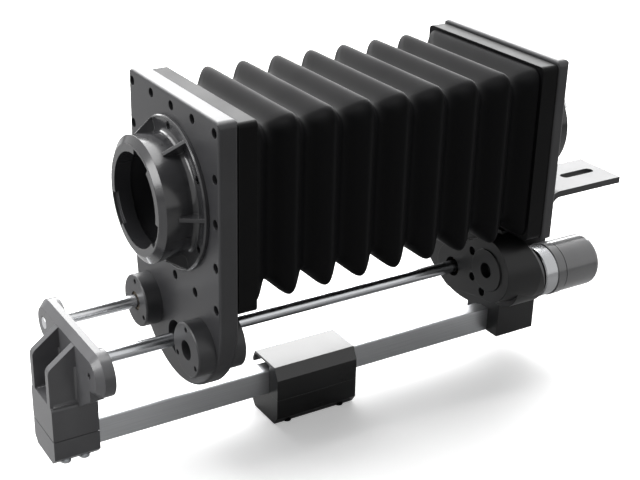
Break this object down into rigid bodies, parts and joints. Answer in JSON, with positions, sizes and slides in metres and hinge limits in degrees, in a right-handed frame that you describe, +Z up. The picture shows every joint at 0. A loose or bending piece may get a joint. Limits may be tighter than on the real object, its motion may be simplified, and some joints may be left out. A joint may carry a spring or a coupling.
{
  "type": "macro bellows unit",
  "caption": "Close-up bellows unit: pleated bellows between a sliding lens standard and a fixed camera standard, on a rod and rail with a focusing knob and tripod foot.",
  "frame": {"origin": "middle of the overall box in plan, at the underside of the tripod foot", "axes": "+X along the rail towards the camera end, +Y away from the focusing knob, +Z up"},
  "size_m": [0.4038, 0.113, 0.2188],
  "materials": {
    "rail_aluminium": "brushed",
    "bracket_paint": "gloss",
    "plate_paint": "satin",
    "housing_paint": "satin",
    "mount_paint": "gloss",
    "foot_paint": "satin",
    "rod_chrome": "polished",
    "screw_steel": "satin",
    "black_steel": "satin",
    "bush_brass": "machined",
    "black_plastic": "matt",
    "knob_plastic": "satin",
    "collar_metal": "turned",
    "bellows_cloth": "matt"
  },
  "bodies": {
    "frame": {"rail_bar": "rail_aluminium", "front_end_bracket": "bracket_paint", "front_rail_jaw": "bracket_paint", "front_jaw_screws": "screw_steel", "screw_front_bush": "bush_brass", "guide_rod": "rod_chrome", "gear_housing": "housing_paint", "bearing_face_screws": "black_steel", "gear_housing_cover": "black_plastic", "knob_shaft_bushes": "bush_brass", "screw_rear_bushes": "bush_brass", "rear_plate": "plate_paint", "rear_frame_screws": "black_steel", "bellows_rear_frame": "black_plastic", "rear_rail_block": "housing_paint", "rear_block_screws": "screw_steel", "camera_mount_ring": "mount_paint", "camera_mount_screws": "screw_steel", "camera_bayonet": "rod_chrome", "camera_bracket": "plate_paint", "bracket_screws": "screw_steel", "bellows": "bellows_cloth"},
    "front_standard": {"front_plate": "plate_paint", "front_frame_screws": "black_steel", "bellows_front_frame": "black_plastic", "lens_mount": "mount_paint", "lens_mount_screws": "screw_steel", "lens_bayonet": "mount_paint", "bearing_housing_near": "plate_paint", "bearing_housing_far": "plate_paint", "bearing_housing_screws": "black_steel", "guide_bushes": "bush_brass", "drive_nut": "black_steel"},
    "focus_knob": {"focus_knob": "knob_plastic", "knob_collar": "collar_metal", "knob_shaft": "screw_steel", "knob_gear": "bush_brass"},
    "drive_screw": {"drive_screw": "rod_chrome", "screw_gear": "bush_brass"},
    "tripod_foot": {"foot_saddle": "foot_paint", "foot_base": "foot_paint", "foot_screws": "black_steel", "tripod_bush": "bush_brass"}
  },
  "joints": [
    {"name": "front_standard_slide", "type": "slide", "parent": "frame", "child": "front_standard", "axis": [1, 0, 0], "range_m": [-0.045, 0.1], "deforming": ["bellows"]},
    {"name": "drive_screw_turn", "type": "hinge", "parent": "frame", "child": "drive_screw", "pos_m": [-0.11745, 0.0015, 0.07035], "axis": [1, 0, 0], "range_deg": [-4501, 2026]},
    {"name": "focus_knob_turn", "type": "hinge", "parent": "frame", "child": "focus_knob", "pos_m": [0.13755, -0.0345, 0.07345], "axis": [1, 0, 0], "range_deg": [-3183, 7073]},
    {"name": "tripod_foot_slide", "type": "slide", "parent": "frame", "child": "tripod_foot", "axis": [1, 0, 0], "range_m": [-0.115, 0.11]}
  ],
  "couplings": [
    {"joint": "drive_screw_turn", "follows": "front_standard_slide", "rad_per_m": -785.4},
    {"joint": "focus_knob_turn", "follows": "front_standard_slide", "rad_per_m": 1234.2}
  ]
}
